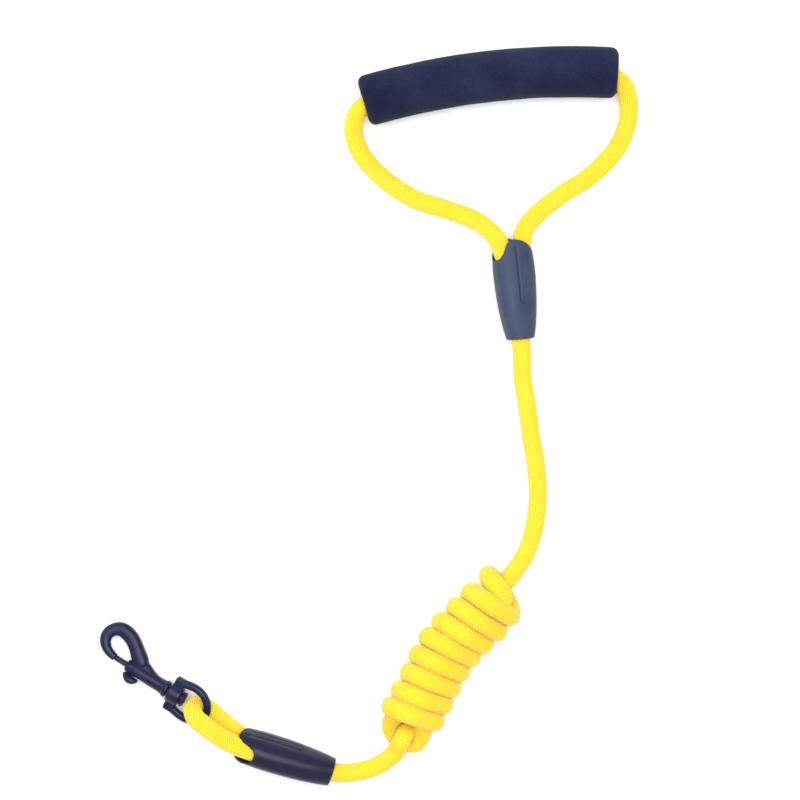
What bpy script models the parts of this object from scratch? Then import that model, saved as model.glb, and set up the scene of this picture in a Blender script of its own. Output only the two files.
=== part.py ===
"""Rope lead: foam grip, Y sleeve, wound spare rope, second sleeve and a swivel bolt snap.

The lead lies on the plane z = 0 with the grip towards +Y and the snap towards -X.
The origin is the middle of the base of its solid pieces. Units are metres; the tables of
stations and routes below are in millimetres, as they would be on a drawing.
"""
import math

import bmesh
import bpy
import numpy as np
from mathutils import Matrix, Vector

MM = 0.001
GAP = 0.3                       # mm, clearance between neighbouring pieces
COLLECTION = "rope_lead"
ORIGIN = (0.51, -0.32, 0.0)     # mm, middle of the base of the solid pieces in the layout below

# Rope
ROPE_R = 5.5                    # mm, radius of the braided rope
CRIMPED_R = 4.4                 # mm, radius where a ferrule squeezes it
FLOOR_Z = ROPE_R + 0.1          # mm, centre height of rope lying on the floor
TUBE_STEP = 8.0                 # mm, spacing of the points of a rope tube

# Foam grip: a tube whose centre line is a shallow arc between its two end faces
GRIP_LEFT = Vector((3.2, 183.0, 15.0))
GRIP_RIGHT = Vector((151.5, 199.8, 15.0))
GRIP_RISE = 6.5
GRIP_R = 15.0
GRIP_BORE_R = 5.9
GRIP_MOUTH_R = 7.1              # mm, bore at the end faces
GRIP_EDGE_R = 3.6
GRIP_DROP = (2.4, 4.0)          # mm, how far the rope pulls each end of the bore inwards
GRIP_DROP_RUN = 22.0            # mm, length over which it does so
GRIP_SIDES = 32

# Sleeves: an oval moulding, one rope into the narrow end, two out of the notched mouth.
# Stations: (distance from the narrow end, half width, half thickness)
SLEEVE_LENGTH = 58.8
SLEEVE_OUTER = ((0.0, 7.2, 7.2), (0.9, 8.0, 8.0), (8.0, 9.7, 8.5), (16.0, 11.0, 8.9),
                (24.0, 11.8, 9.2), (34.0, 12.4, 9.3), (46.0, 12.5, 9.2), (58.8, 12.2, 8.6))
SLEEVE_INNER = ((58.8, 11.4, 6.4), (46.0, 11.3, 6.4), (34.0, 10.9, 6.4), (27.0, 10.7, 6.3),
                (20.0, 9.3, 6.1), (13.0, 6.4, 5.9), (0.0, 5.9, 5.9))
SLEEVE_SIDES = 40
NOTCH_DEPTH = 11.5
NOTCH_FROM = 34.0
NOTCH_POWER = 3.0
UPPER_SLEEVE = {"narrow": Vector((95.1, 44.8, 9.0)), "mouth": Vector((89.3, 103.2, 12.6)),
                "roll": 26.5}
LOWER_SLEEVE = {"narrow": Vector((-15.1, -208.5, 10.2)), "mouth": Vector((-71.1, -190.8, 14.1)),
                "roll": 60.0}

# Strands inside a sleeve, in its own frame: (across, along), crimped side by side
THROUGH_LEG = ((0.0, 10.4), (0.0, 13.4), (-0.9, 16.6), (-2.9, 20.8), (-4.7, 26.5), (-4.7, 38.0),
               (-5.3, 45.0))
CUT_LEG = ((4.7, 27.2), (4.7, 38.0), (5.3, 45.0))
FERRULE_FROM, FERRULE_TO = 28.0, 37.0
FERRULE_INNER = (9.45, 4.8)
FERRULE_WALL = 0.9

# Wound rope: eight close turns round a doubled core, on a gently curved axis
HANK_TOP = Vector((80.3, -106.5, 19.0))
HANK_BOTTOM = Vector((33.5, -170.4, 19.0))
HANK_RISE = -4.2
HANK_TILT = 45.0                # degrees, slope of the doubled core across the axis
HANK_SIDES = 28
# Stations: (along the axis, sideways, height of the middle, half major, half minor)
HANK_STATIONS = ((-12.0, -5.0, 14.5, 11.5, 10.0), (-9.0, -5.0, 15.5, 14.5, 12.0),
                 (-4.5, -2.0, 18.0, 18.5, 15.0), (0.0, 0.0, 19.0, 20.2, 16.3),
                 (16.0, 0.0, 19.0, 20.2, 16.3), (32.0, 0.0, 19.0, 20.2, 16.3),
                 (48.0, 0.0, 19.0, 20.2, 16.3), (64.0, 0.0, 19.0, 20.2, 16.3),
                 (80.0, 0.0, 19.0, 20.2, 16.3), (85.0, 0.0, 17.5, 18.5, 15.0),
                 (90.0, 1.5, 14.0, 14.5, 11.5), (97.0, 2.0, 12.0, 12.5, 10.5),
                 (104.5, 2.0, 11.5, 10.0, 8.5))

# Snap: its axis leaves the eye at SNAP_AT and runs down to the hook, which rests on the floor.
# In its own frame +Z runs along the barrel to the hook, +X to the thumb knob, +Y upwards.
SNAP_AT = Vector((-108.9, -161.7, 9.95))
SNAP_HEADING = 149.0            # degrees from +X, seen from above
SNAP_DIP = math.degrees(math.atan(0.137))
EYE_ROLL = -25.0                # degrees about the snap's axis
# Hook wire: (across, along, width, thickness), from the tip round the crown to the barrel
HOOK_WIRE = ((0.0, 39.9, 4.4, 4.2), (-0.8, 43.4, 5.0, 4.8), (-2.6, 46.9, 5.8, 5.4),
             (-5.8, 49.6, 6.6, 5.8), (-9.8, 50.2, 7.0, 6.0), (-13.6, 48.2, 7.6, 6.0),
             (-15.9, 44.5, 8.6, 6.0), (-15.8, 40.2, 8.8, 6.0), (-14.3, 36.0, 8.6, 6.0),
             (-11.4, 31.6, 8.4, 5.8), (-7.7, 27.6, 9.0, 5.8), (-4.6, 23.8, 9.4, 6.4),
             (-2.5, 20.2, 8.8, 7.2), (-1.2, 16.6, 8.4, 7.8), (-0.4, 13.0, 8.2, 8.0),
             (-0.1, 9.6, 7.8, 7.8))
BARREL_PROFILE = ((0.0, 2.6), (4.8, 2.6), (5.1, 3.1), (5.1, 4.4), (4.4, 5.6), (4.1, 8.0),
                  (4.1, 24.0), (3.9, 29.0), (3.2, 31.2), (0.0, 31.2))
BORE_R = 2.0
SLOT_FROM, SLOT_TO, SLOT_WIDTH = 15.2, 29.8, 3.0
BOLT_R = 1.65
BOLT_BACK, BOLT_NOSE = 21.4, 39.35
LATCH_TRAVEL = 8.2
KNOB_FROM, KNOB_TO, KNOB_WIDTH = 23.8, 29.4, 2.3
KNOB_HOLE_R = 1.15
KNOB_AT = 26.7
PAD_AT = (6.7, 25.3)
PAD_SIZE = (4.6, 6.8, 9.4)
SPRING_WIRE_R, SPRING_COIL_R = 0.25, 1.35
SPRING_TURNS = 9
SPRING_FROM, SPRING_TO = 7.6, 20.8
# Swivel pin profile: (radius, along), from the head inside the eye to the spring seat
PIN_PROFILE = ((0.0, -9.1), (3.6, -9.1), (4.6, -8.5), (4.6, -7.6), (4.0, -7.2), (4.0, -6.6),
               (2.6, -6.6), (2.6, 2.3), (1.7, 2.3), (1.7, 7.0), (0.0, 7.0))
EYE_BAR = (22.6, 5.0, 6.6)
EYE_BAR_AT = -2.4
EYE_BAR_EDGE = 1.2
BOSS_R, BOSS_FROM, BOSS_TO = 6.1, -6.2, 1.6
EYE_BORE_R = 2.95
BOW_R = 2.3
BOW_HALF = ((9.0, -3.4), (10.0, -8.0), (10.5, -12.5), (9.2, -17.6), (5.4, -22.0), (0.0, -24.0))

TURNED_STEPS = 32


def superellipse(half_a, half_b, power, count):
    """Points of a rounded oval, counter-clockwise from +a, as (a, b) pairs."""
    points = []
    for i in range(count):
        angle = 2.0 * math.pi * i / count
        c, s = math.cos(angle), math.sin(angle)
        points.append((math.copysign(abs(c) ** (2.0 / power), c) * half_a,
                       math.copysign(abs(s) ** (2.0 / power), s) * half_b))
    return points


def smooth_route(points, step):
    """Even samples of a centripetal Catmull-Rom curve through the points (any dimension)."""
    pts = np.array([tuple(p) for p in points], dtype=float)
    pts = np.vstack((2 * pts[0] - pts[1], pts, 2 * pts[-1] - pts[-2]))
    dense = []
    for i in range(1, len(pts) - 2):
        p0, p1, p2, p3 = pts[i - 1:i + 3]
        t1 = math.sqrt(np.linalg.norm((p1 - p0)[:3]))
        t2 = t1 + math.sqrt(np.linalg.norm((p2 - p1)[:3]))
        t3 = t2 + math.sqrt(np.linalg.norm((p3 - p2)[:3]))
        for t in np.linspace(t1, t2, 24, endpoint=False):
            a1 = (t1 - t) / t1 * p0 + t / t1 * p1
            a2 = (t2 - t) / (t2 - t1) * p1 + (t - t1) / (t2 - t1) * p2
            a3 = (t3 - t) / (t3 - t2) * p2 + (t - t2) / (t3 - t2) * p3
            b1 = (t2 - t) / t2 * a1 + t / t2 * a2
            b2 = (t3 - t) / (t3 - t1) * a2 + (t - t1) / (t3 - t1) * a3
            dense.append((t2 - t) / (t2 - t1) * b1 + (t - t1) / (t2 - t1) * b2)
    dense = np.array(dense + [pts[-2]])
    run = np.concatenate(([0.0], np.cumsum(np.linalg.norm(np.diff(dense[:, :3], axis=0), axis=1))))
    even = np.linspace(0.0, run[-1], max(2, round(run[-1] / step) + 1))
    return np.column_stack([np.interp(even, run, dense[:, k]) for k in range(dense.shape[1])])


class Arc:
    """A shallow arc in a level plane from one point to another, with its rise to the left."""

    def __init__(self, start, end, rise):
        chord = (end - start).length
        self.radius = (chord * chord / 4.0 + rise * rise) / (2.0 * rise)
        self.half = math.asin(chord / 2.0 / self.radius)
        self.length = 2.0 * self.half * self.radius
        self.along = (end - start).normalized()
        self.left = Vector((-self.along.y, self.along.x, 0.0))
        self.centre = (start + end) / 2.0 + self.left * (rise - self.radius)

    def at(self, distance):
        """Point, direction and sideways direction at a distance from the start."""
        angle = distance / self.radius - self.half
        out = self.left * math.cos(angle) + self.along * math.sin(angle)
        direction = self.along * math.cos(angle) - self.left * math.sin(angle)
        return self.centre + out * self.radius, direction, out


def frame_matrix(x_axis, y_axis, z_axis, origin):
    """Matrix of a frame given by its axes and its origin in millimetres."""
    matrix = Matrix((x_axis, y_axis, z_axis)).transposed().to_4x4()
    matrix.translation = origin * MM
    return matrix


def sleeve_matrix(sleeve):
    """Frame of a sleeve: +Y from the narrow end to the mouth, +X to the raised side."""
    along = (sleeve["mouth"] - sleeve["narrow"]).normalized()
    level = Vector((-along.y, along.x, 0.0)).normalized()
    up = level.cross(along)
    if up.z < 0:
        up = -up
    roll = math.radians(sleeve["roll"])
    across = level * math.cos(roll) + up * math.sin(roll)
    return frame_matrix(across, along, across.cross(along), sleeve["narrow"])


def snap_matrix():
    """Frame of the snap: +Z along the barrel to the hook, +Y upwards."""
    heading, dip = math.radians(SNAP_HEADING), math.radians(SNAP_DIP)
    z_axis = Vector((math.cos(heading) * math.cos(dip), math.sin(heading) * math.cos(dip),
                     -math.sin(dip)))
    x_axis = Vector((0.0, 0.0, 1.0)).cross(z_axis).normalized()
    return frame_matrix(x_axis, z_axis.cross(x_axis), z_axis, SNAP_AT)


def add_material(name, colour, roughness, metallic):
    """A plain material for one sub-part."""
    material = bpy.data.materials.new(name)
    material.use_nodes = True
    shader = material.node_tree.nodes["Principled BSDF"]
    shader.inputs["Base Color"].default_value = (*colour, 1.0)
    shader.inputs["Roughness"].default_value = roughness
    shader.inputs["Metallic"].default_value = metallic
    return material


def add_object(name, data, collection, parent=None):
    obj = bpy.data.objects.new(name, data)
    collection.objects.link(obj)
    if parent is not None:
        obj.parent = parent
    return obj


def mesh_from(bm, name, smooth_angle=40.0):
    """Mesh of a bmesh with its faces turned outwards and its soft edges shaded smooth."""
    bmesh.ops.recalc_face_normals(bm, faces=bm.faces)
    mesh = bpy.data.meshes.new(name)
    bm.to_mesh(mesh)
    bm.free()
    mesh.shade_smooth()
    mesh.set_sharp_from_angle(angle=math.radians(smooth_angle))
    return mesh


def loft(name, rings, closed):
    """Skin over equal rings of points; a closed loft joins its last ring to its first."""
    bm = bmesh.new()
    loops = [[bm.verts.new(Vector(point) * MM) for point in ring] for ring in rings]
    pairs = list(zip(loops, loops[1:])) + ([(loops[-1], loops[0])] if closed else [])
    count = len(rings[0])
    for first, second in pairs:
        for i in range(count):
            j = (i + 1) % count
            bm.faces.new((first[i], first[j], second[j], second[i]))
    if not closed:
        bm.faces.new(loops[0])
        bm.faces.new(loops[-1])
    return mesh_from(bm, name)


def turned(name, profile, steps=TURNED_STEPS):
    """A turned solid about local Z from a (radius, along) profile, as a mesh."""
    bm = bmesh.new()
    verts = [bm.verts.new((radius * MM, 0.0, along * MM)) for radius, along in reversed(profile)]
    for first, second in zip(verts, verts[1:]):
        bm.edges.new((first, second))
    if profile[0][0] > 0.0:
        bm.edges.new((verts[-1], verts[0]))
    outline = bpy.data.meshes.new(name + "_outline")
    bm.to_mesh(outline)
    bm.free()
    lathe = bpy.data.objects.new(name + "_lathe", outline)
    bpy.context.scene.collection.objects.link(lathe)
    screw = lathe.modifiers.new("Screw", "SCREW")
    screw.axis = "Z"
    screw.steps = screw.render_steps = steps
    screw.use_merge_vertices = True
    screw.merge_threshold = 0.00001
    mesh = evaluated_mesh(lathe, name)
    bpy.data.objects.remove(lathe)
    return mesh


def evaluated_mesh(obj, name):
    """The object's evaluated shape as a clean mesh of its own."""
    bpy.context.view_layer.update()
    source = obj.evaluated_get(bpy.context.evaluated_depsgraph_get())
    mesh = bpy.data.meshes.new_from_object(source)
    bm = bmesh.new()
    bm.from_mesh(mesh)
    bpy.data.meshes.remove(mesh)
    bmesh.ops.remove_doubles(bm, verts=bm.verts, dist=0.00001)
    return mesh_from(bm, name)


def cylinder(name, radius, start, end, sides=TURNED_STEPS):
    """A plain cylinder about local Z."""
    bm = bmesh.new()
    bmesh.ops.create_cone(bm, cap_ends=True, segments=sides, radius1=radius * MM,
                          radius2=radius * MM, depth=(end - start) * MM,
                          matrix=Matrix.Translation((0.0, 0.0, (start + end) / 2.0 * MM)))
    return mesh_from(bm, name)


def block(name, size, centre, edge=0.0):
    """A block with its middle at the centre, its edges cut back where an edge width is given."""
    bm = bmesh.new()
    bmesh.ops.create_cube(bm, size=1.0)
    bmesh.ops.scale(bm, vec=Vector(size) * MM, verts=bm.verts)
    bmesh.ops.translate(bm, vec=Vector(centre) * MM, verts=bm.verts)
    if edge > 0.0:
        bmesh.ops.bevel(bm, geom=bm.edges, offset=edge * MM, segments=3, profile=0.5, affect="EDGES")
    return mesh_from(bm, name)


def combine(obj, operation, mesh, cutters, rotation=None, location=None):
    """Boolean with a helper body that shares the object's frame."""
    helper = add_object(mesh.name, mesh, cutters, obj.parent)
    helper.matrix_basis = obj.matrix_basis.copy()
    if rotation is not None:
        helper.matrix_basis = helper.matrix_basis @ rotation
    if location is not None:
        helper.matrix_basis = helper.matrix_basis @ Matrix.Translation(Vector(location) * MM)
    helper.hide_render = True
    helper.display_type = "WIRE"
    boolean = obj.modifiers.new(helper.name, "BOOLEAN")
    boolean.operation = operation
    boolean.object = helper
    boolean.solver = "EXACT"
    return helper


def tube(name, samples, radius, parts, parent=None, resolution=4):
    """A round bar along sampled points (x, y, z, radius factor) in millimetres."""
    curve = bpy.data.curves.new(name, "CURVE")
    curve.dimensions = "3D"
    curve.bevel_depth = radius * MM
    curve.bevel_resolution = resolution
    curve.use_fill_caps = True
    spline = curve.splines.new("POLY")
    spline.points.add(len(samples) - 1)
    for point, sample in zip(spline.points, samples):
        point.co = (sample[0] * MM, sample[1] * MM, sample[2] * MM, 1.0)
        point.radius = sample[3] if len(sample) > 3 else 1.0
    return add_object(name, curve, parts, parent)


def strand(matrix, leg):
    """Points of a strand inside a sleeve, thinner where the ferrule grips it."""
    points = []
    for across, along in leg:
        grip = min(max((along - 10.0) / 16.0, 0.0), 1.0) * min(max((50.0 - along) / 12.0, 0.0), 1.0)
        place = matrix @ (Vector((across, along, 0.0)) * MM) / MM
        points.append((*place, 1.0 - grip * (1.0 - CRIMPED_R / ROPE_R)))
    return points


def bore_drop(along, length):
    """Sideways shift of the grip's bore, which the rope pulls towards the inside of the loop."""
    start = max(0.0, 1.0 - along / GRIP_DROP_RUN) ** 2
    end = max(0.0, 1.0 - (length - along) / GRIP_DROP_RUN) ** 2
    return -GRIP_DROP[0] * start - GRIP_DROP[1] * end


def build_grip(parts):
    """Foam tube bent to a shallow arc, its end edges rounded and its bore eased at the ends."""
    arc = Arc(GRIP_LEFT, GRIP_RIGHT, GRIP_RISE)
    edge, last = GRIP_EDGE_R, arc.length
    corner = [(edge * (1.0 - math.cos(math.radians(a))), GRIP_R - edge * (1.0 - math.sin(math.radians(a))))
              for a in (0.0, 30.0, 60.0, 90.0)]
    runs = 14
    profile = corner + [(edge + (last - 2 * edge) * i / runs, GRIP_R) for i in range(1, runs)]
    profile += [(last - along, radius) for along, radius in reversed(corner)]
    outside = len(profile)
    spread = GRIP_MOUTH_R - GRIP_BORE_R
    steps = (0.0, 4.0, 8.0, 12.0, 17.0, 22.0)
    profile += [(last - a, GRIP_BORE_R + spread * (1.0 - a / GRIP_DROP_RUN)) for a in steps]
    profile += [(last - 22.0 - (last - 44.0) * i / 8.0, GRIP_BORE_R) for i in range(1, 8)]
    profile += [(a, GRIP_BORE_R + spread * (1.0 - a / GRIP_DROP_RUN)) for a in reversed(steps)]
    rings = []
    for i, (along, radius) in enumerate(profile):
        point, _, out = arc.at(along)
        if i >= outside:
            point = point + out * bore_drop(along, last)
        rings.append([point + out * a + Vector((0.0, 0.0, b))
                      for a, b in superellipse(radius, radius, 2.0, GRIP_SIDES)])
    return add_object("foam_grip", loft("foam_grip", rings, closed=True), parts)


def build_sleeve(name, sleeve, parts):
    """Hollow oval sleeve with a notch in each side of its mouth."""
    matrix = sleeve_matrix(sleeve)
    rings = []
    for stations, power in ((SLEEVE_OUTER, 2.4), (SLEEVE_INNER, 3.0)):
        for along, half_width, half_thickness in stations:
            ring = []
            for i, (a, b) in enumerate(superellipse(half_width, half_thickness, power, SLEEVE_SIDES)):
                side = abs(math.sin(2.0 * math.pi * i / SLEEVE_SIDES)) ** NOTCH_POWER
                lip = SLEEVE_LENGTH - NOTCH_DEPTH * (1.0 - side)
                share = max(0.0, (along - NOTCH_FROM) / (SLEEVE_LENGTH - NOTCH_FROM))
                ring.append((a, along - share * (SLEEVE_LENGTH - lip), b))
            rings.append(ring)
    obj = add_object(name, loft(name, rings, closed=True), parts)
    obj.matrix_world = matrix
    return matrix


def build_ferrule(name, matrix, parts):
    """Oval metal band crimped round the two strands inside a sleeve."""
    outer = tuple(half + FERRULE_WALL for half in FERRULE_INNER)
    rings = []
    for along, half in ((FERRULE_FROM, FERRULE_INNER), (FERRULE_FROM, outer),
                        (FERRULE_TO, outer), (FERRULE_TO, FERRULE_INNER)):
        rings.append([(a, along, b) for a, b in superellipse(*half, 3.4, SLEEVE_SIDES)])
    obj = add_object(name, loft(name, rings, closed=True), parts)
    obj.matrix_world = matrix


def hank_point(along, side, height):
    """A point beside the hank's curved axis."""
    point, _, out = Arc(HANK_TOP, HANK_BOTTOM, HANK_RISE).at(along)
    place = point + out * side
    return (place.x, place.y, height, 1.0)


def build_ropes(upper, lower, parts):
    """Rope tubes: the handle loop, the lead on both sides of the hank, and the end loop."""
    arc = Arc(GRIP_LEFT, GRIP_RIGHT, GRIP_RISE)
    inside = []
    for share in (0.01, 0.05, 0.1, 0.15, 0.3, 0.5, 0.7, 0.85, 0.9, 0.95, 0.99):
        point, _, out = arc.at(arc.length * share)
        inside.append((*(point + out * bore_drop(arc.length * share, arc.length)), 1.0))
    left = [(*(upper @ (Vector(q) * MM) / MM), 1.0) for q in ((6.3, 51.8, 0.2), (8.9, 59.6, 0.7))]
    left += [(69.6, 113.2, 14.2, 1.0), (51.5, 120.5, 9.8, 1.0), (32.8, 126.7, 6.6, 1.0),
             (14.4, 139.0, 5.8, 1.0), (2.1, 152.6, 7.4, 1.0), (-2.6, 165.5, 10.8, 1.0),
             (-2.0, 172.0, 13.0, 1.0), (-0.1, 177.2, 14.5, 1.0)]
    right = [(154.9, 192.9, 14.7, 1.0), (157.5, 186.6, 13.1, 1.0),
             (158.4, 178.5, 10.6, 1.0), (157.6, 171.5, 8.8, 1.0), (152.3, 157.7, 6.4, 1.0),
             (137.5, 141.3, FLOOR_Z, 1.0), (119.1, 129.2, FLOOR_Z, 1.0), (104.6, 117.6, 5.9, 1.0)]
    right += [(*(upper @ (Vector((a, y, 0.0)) * MM) / MM), 1.0) for a, y in ((-9.0, 62.0), (-6.5, 52.5))]
    handle = strand(upper, CUT_LEG) + left + inside + right + strand(upper, THROUGH_LEG)[::-1]
    tube("handle_rope", smooth_route(handle, TUBE_STEP * 0.8), ROPE_R, parts, resolution=3)

    start = [(*(upper @ (Vector((0.0, y, 0.0)) * MM) / MM), 1.0) for y in (9.3, 0.0)]
    lead = start + [(96.1, 35.0, 7.6, 1.0), (96.2, 23.7, 5.9, 1.0), (98.9, 6.1, FLOOR_Z, 1.0),
                    (101.2, -11.4, FLOOR_Z, 1.0), (104.1, -29.0, FLOOR_Z, 1.0),
                    (105.3, -46.5, FLOOR_Z, 1.0), (103.5, -64.1, 5.9, 1.0),
                    (99.2, -78.4, 8.2, 1.0), (94.9, -86.2, 11.0, 1.0), (91.4, -90.9, 12.5, 1.0),
                    hank_point(-14.6, -4.0, 13.1)]
    tube("lead_rope_upper", smooth_route(lead, TUBE_STEP), ROPE_R, parts, resolution=3)

    tail = [hank_point(107.6, -1.5, 11.5), (19.4, -199.2, 11.4, 1.0), (13.6, -203.4, 10.6, 1.0),
            (6.1, -206.7, 9.8, 1.0), (-5.4, -208.9, 9.7, 1.0)]
    tail += [(*(lower @ (Vector((0.0, y, 0.0)) * MM) / MM), 1.0) for y in (0.0, 9.8)]
    tube("lead_rope_lower", smooth_route(tail, TUBE_STEP * 0.75), ROPE_R, parts, resolution=3)

    snap = snap_matrix()
    # Round the bow of the eye: (across, along) in the snap's level plane, height above the floor
    over = ((7.9, -49.7, 18.8), (9.6, -39.6, 20.6), (9.1, -31.0, 21.9), (7.7, -25.0, 22.3),
            (6.0, -19.8, 21.4), (4.0, -16.6, 19.0), (2.0, -15.2, 15.8), (0.2, -14.9, 12.4),
            (-1.4, -15.6, 9.2), (-2.7, -18.2, 6.9), (-3.1, -22.0, 5.8), (-2.8, -26.0, FLOOR_Z),
            (-1.6, -31.0, FLOOR_Z), (0.4, -40.0, 6.2))
    heading = math.radians(SNAP_HEADING)
    out = Vector((math.cos(heading), math.sin(heading), 0.0))
    across = Vector((0.0, 0.0, 1.0)).cross(out)
    loop = []
    for side, along, height in over:
        place = SNAP_AT + out * along + across * side
        loop.append((place.x, place.y, height, 1.0))
    back = strand(lower, THROUGH_LEG)[::-1]
    mouth = [(*(lower @ (Vector((-6.6, 53.5, 0.0)) * MM) / MM), 1.0)]
    loop = strand(lower, CUT_LEG) + loop + mouth + back
    tube("end_loop_rope", smooth_route(loop, TUBE_STEP * 0.5), ROPE_R, parts, resolution=3)
    return snap


def build_hank(parts):
    """Outer shape of the wound rope, swept along its curved axis."""
    arc = Arc(HANK_TOP, HANK_BOTTOM, HANK_RISE)
    tilt = math.radians(HANK_TILT)
    rings = []
    for along, side, height, major, minor in HANK_STATIONS:
        point, _, out = arc.at(along)
        centre = Vector((point.x, point.y, height)) + out * side
        ring = []
        for a, b in superellipse(major, minor, 2.2, HANK_SIDES):
            level = a * math.cos(tilt) - b * math.sin(tilt)
            ring.append(centre - out * level + Vector((0.0, 0.0, a * math.sin(tilt) + b * math.cos(tilt))))
        rings.append(ring)
    return add_object("rope_hank", loft("rope_hank", rings, closed=False), parts)


def build_hook(parts, cutters, axis):
    """Cast hook and barrel in one piece, bored for the bolt and slotted for its knob."""
    samples = smooth_route([(x, 0.0, z, w, h) for x, z, w, h in HOOK_WIRE], 2.6)
    rings = []
    for i, (x, _, z, width, thickness) in enumerate(samples):
        before, after = samples[max(i - 1, 0)], samples[min(i + 1, len(samples) - 1)]
        run = Vector((after[0] - before[0], 0.0, after[2] - before[2])).normalized()
        side = Vector((-run.z, 0.0, run.x))
        rings.append([Vector((x, 0.0, z)) + side * a + Vector((0.0, b, 0.0))
                      for a, b in superellipse(width / 2.0, thickness / 2.0, 2.2, 20)])
    hook = add_object("hook_body", turned("hook_barrel", BARREL_PROFILE), parts, axis)
    combine(hook, "UNION", loft("hook_wire", rings, closed=False), cutters)
    combine(hook, "DIFFERENCE", cylinder("barrel_bore", BORE_R, 0.0, 34.0, 24), cutters)
    slot = block("knob_slot", (8.0, SLOT_WIDTH, SLOT_TO - SLOT_FROM), (4.0, 0.0, (SLOT_FROM + SLOT_TO) / 2.0))
    combine(hook, "DIFFERENCE", slot, cutters)
    return hook


def build_latch(parts, cutters, axis):
    """Spring bolt, its thumb knob and the spring behind it."""
    bolt = add_object("latch_bolt", turned("latch_bolt", (
        (0.0, BOLT_BACK), (BOLT_R, BOLT_BACK), (BOLT_R, BOLT_NOSE - 0.7), (BOLT_R - 0.5, BOLT_NOSE),
        (0.0, BOLT_NOSE)), 24), parts, axis)
    across = Matrix.Rotation(math.radians(90.0), 4, "Y")
    hole = cylinder("knob_hole", KNOB_HOLE_R, 0.3, 3.0, 16)
    combine(bolt, "DIFFERENCE", hole, cutters, Matrix.Translation((0.0, 0.0, KNOB_AT * MM)) @ across)

    pad = bmesh.new()
    bmesh.ops.create_uvsphere(pad, u_segments=20, v_segments=12, radius=0.5)
    bmesh.ops.scale(pad, vec=Vector(PAD_SIZE) * MM, verts=pad.verts)
    bmesh.ops.translate(pad, vec=Vector((PAD_AT[0], 0.0, PAD_AT[1])) * MM, verts=pad.verts)
    knob = add_object("thumb_knob", mesh_from(pad, "thumb_knob"), parts, axis)
    stem_top = BOLT_R + GAP
    stem = block("knob_stem", (PAD_AT[0] - stem_top, KNOB_WIDTH, KNOB_TO - KNOB_FROM),
                 ((PAD_AT[0] + stem_top) / 2.0, 0.0, (KNOB_FROM + KNOB_TO) / 2.0))
    combine(knob, "UNION", stem, cutters)
    shank = cylinder("knob_shank", KNOB_HOLE_R - GAP, 0.7, 4.0, 16)
    combine(knob, "UNION", shank, cutters, Matrix.Translation((0.0, 0.0, KNOB_AT * MM)) @ across)

    per_turn = 10
    count = SPRING_TURNS * per_turn + 1
    coil = []
    for i in range(count):
        angle = 2.0 * math.pi * i / per_turn
        coil.append((SPRING_COIL_R * math.cos(angle), SPRING_COIL_R * math.sin(angle),
                     SPRING_FROM + (SPRING_TO - SPRING_FROM) * i / (count - 1)))
    tube("latch_spring", coil, SPRING_WIRE_R, parts, axis, resolution=1)


def build_eye(parts, cutters, pivot, axis):
    """Swivel eye with its bored boss, and the headed pin that it turns on."""
    eye = add_object("swivel_eye", cylinder("eye_boss", BOSS_R, BOSS_FROM, BOSS_TO), parts, pivot)
    eye.matrix_basis = Matrix.Rotation(math.radians(EYE_ROLL), 4, "Z")
    combine(eye, "UNION", block("eye_bar", EYE_BAR, (0.0, 0.0, EYE_BAR_AT), EYE_BAR_EDGE), cutters)
    half = [(x, 0.0, z) for x, z in BOW_HALF]
    bow = half + [(-x, y, z) for x, y, z in reversed(half[:-1])]
    bar = tube("eye_bow_curve", smooth_route(bow, 2.6), BOW_R, cutters, resolution=3)
    mesh = evaluated_mesh(bar, "eye_bow")
    bpy.data.objects.remove(bar)
    combine(eye, "UNION", mesh, cutters)
    combine(eye, "DIFFERENCE", cylinder("eye_bore", EYE_BORE_R, -12.0, 6.0), cutters)
    add_object("swivel_pin", turned("swivel_pin", PIN_PROFILE), parts, axis)


MATERIALS = {
    "foam_grip": ((0.020, 0.022, 0.040), 0.85, 0.0),
    "handle_rope": ((0.93, 0.76, 0.02), 0.55, 0.0),
    "lead_rope_upper": ((0.93, 0.76, 0.02), 0.55, 0.0),
    "rope_hank": ((0.93, 0.76, 0.02), 0.55, 0.0),
    "lead_rope_lower": ((0.93, 0.76, 0.02), 0.55, 0.0),
    "end_loop_rope": ((0.93, 0.76, 0.02), 0.55, 0.0),
    "upper_sleeve": ((0.040, 0.050, 0.075), 0.45, 0.0),
    "lower_sleeve": ((0.040, 0.050, 0.075), 0.45, 0.0),
    "upper_ferrule": ((0.60, 0.61, 0.62), 0.35, 1.0),
    "lower_ferrule": ((0.60, 0.61, 0.62), 0.35, 1.0),
    "hook_body": ((0.025, 0.026, 0.045), 0.40, 0.6),
    "latch_bolt": ((0.030, 0.031, 0.050), 0.35, 0.7),
    "thumb_knob": ((0.025, 0.026, 0.045), 0.40, 0.6),
    "latch_spring": ((0.55, 0.56, 0.58), 0.30, 1.0),
    "swivel_eye": ((0.025, 0.026, 0.045), 0.40, 0.6),
    "swivel_pin": ((0.025, 0.026, 0.045), 0.35, 0.6),
}


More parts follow.
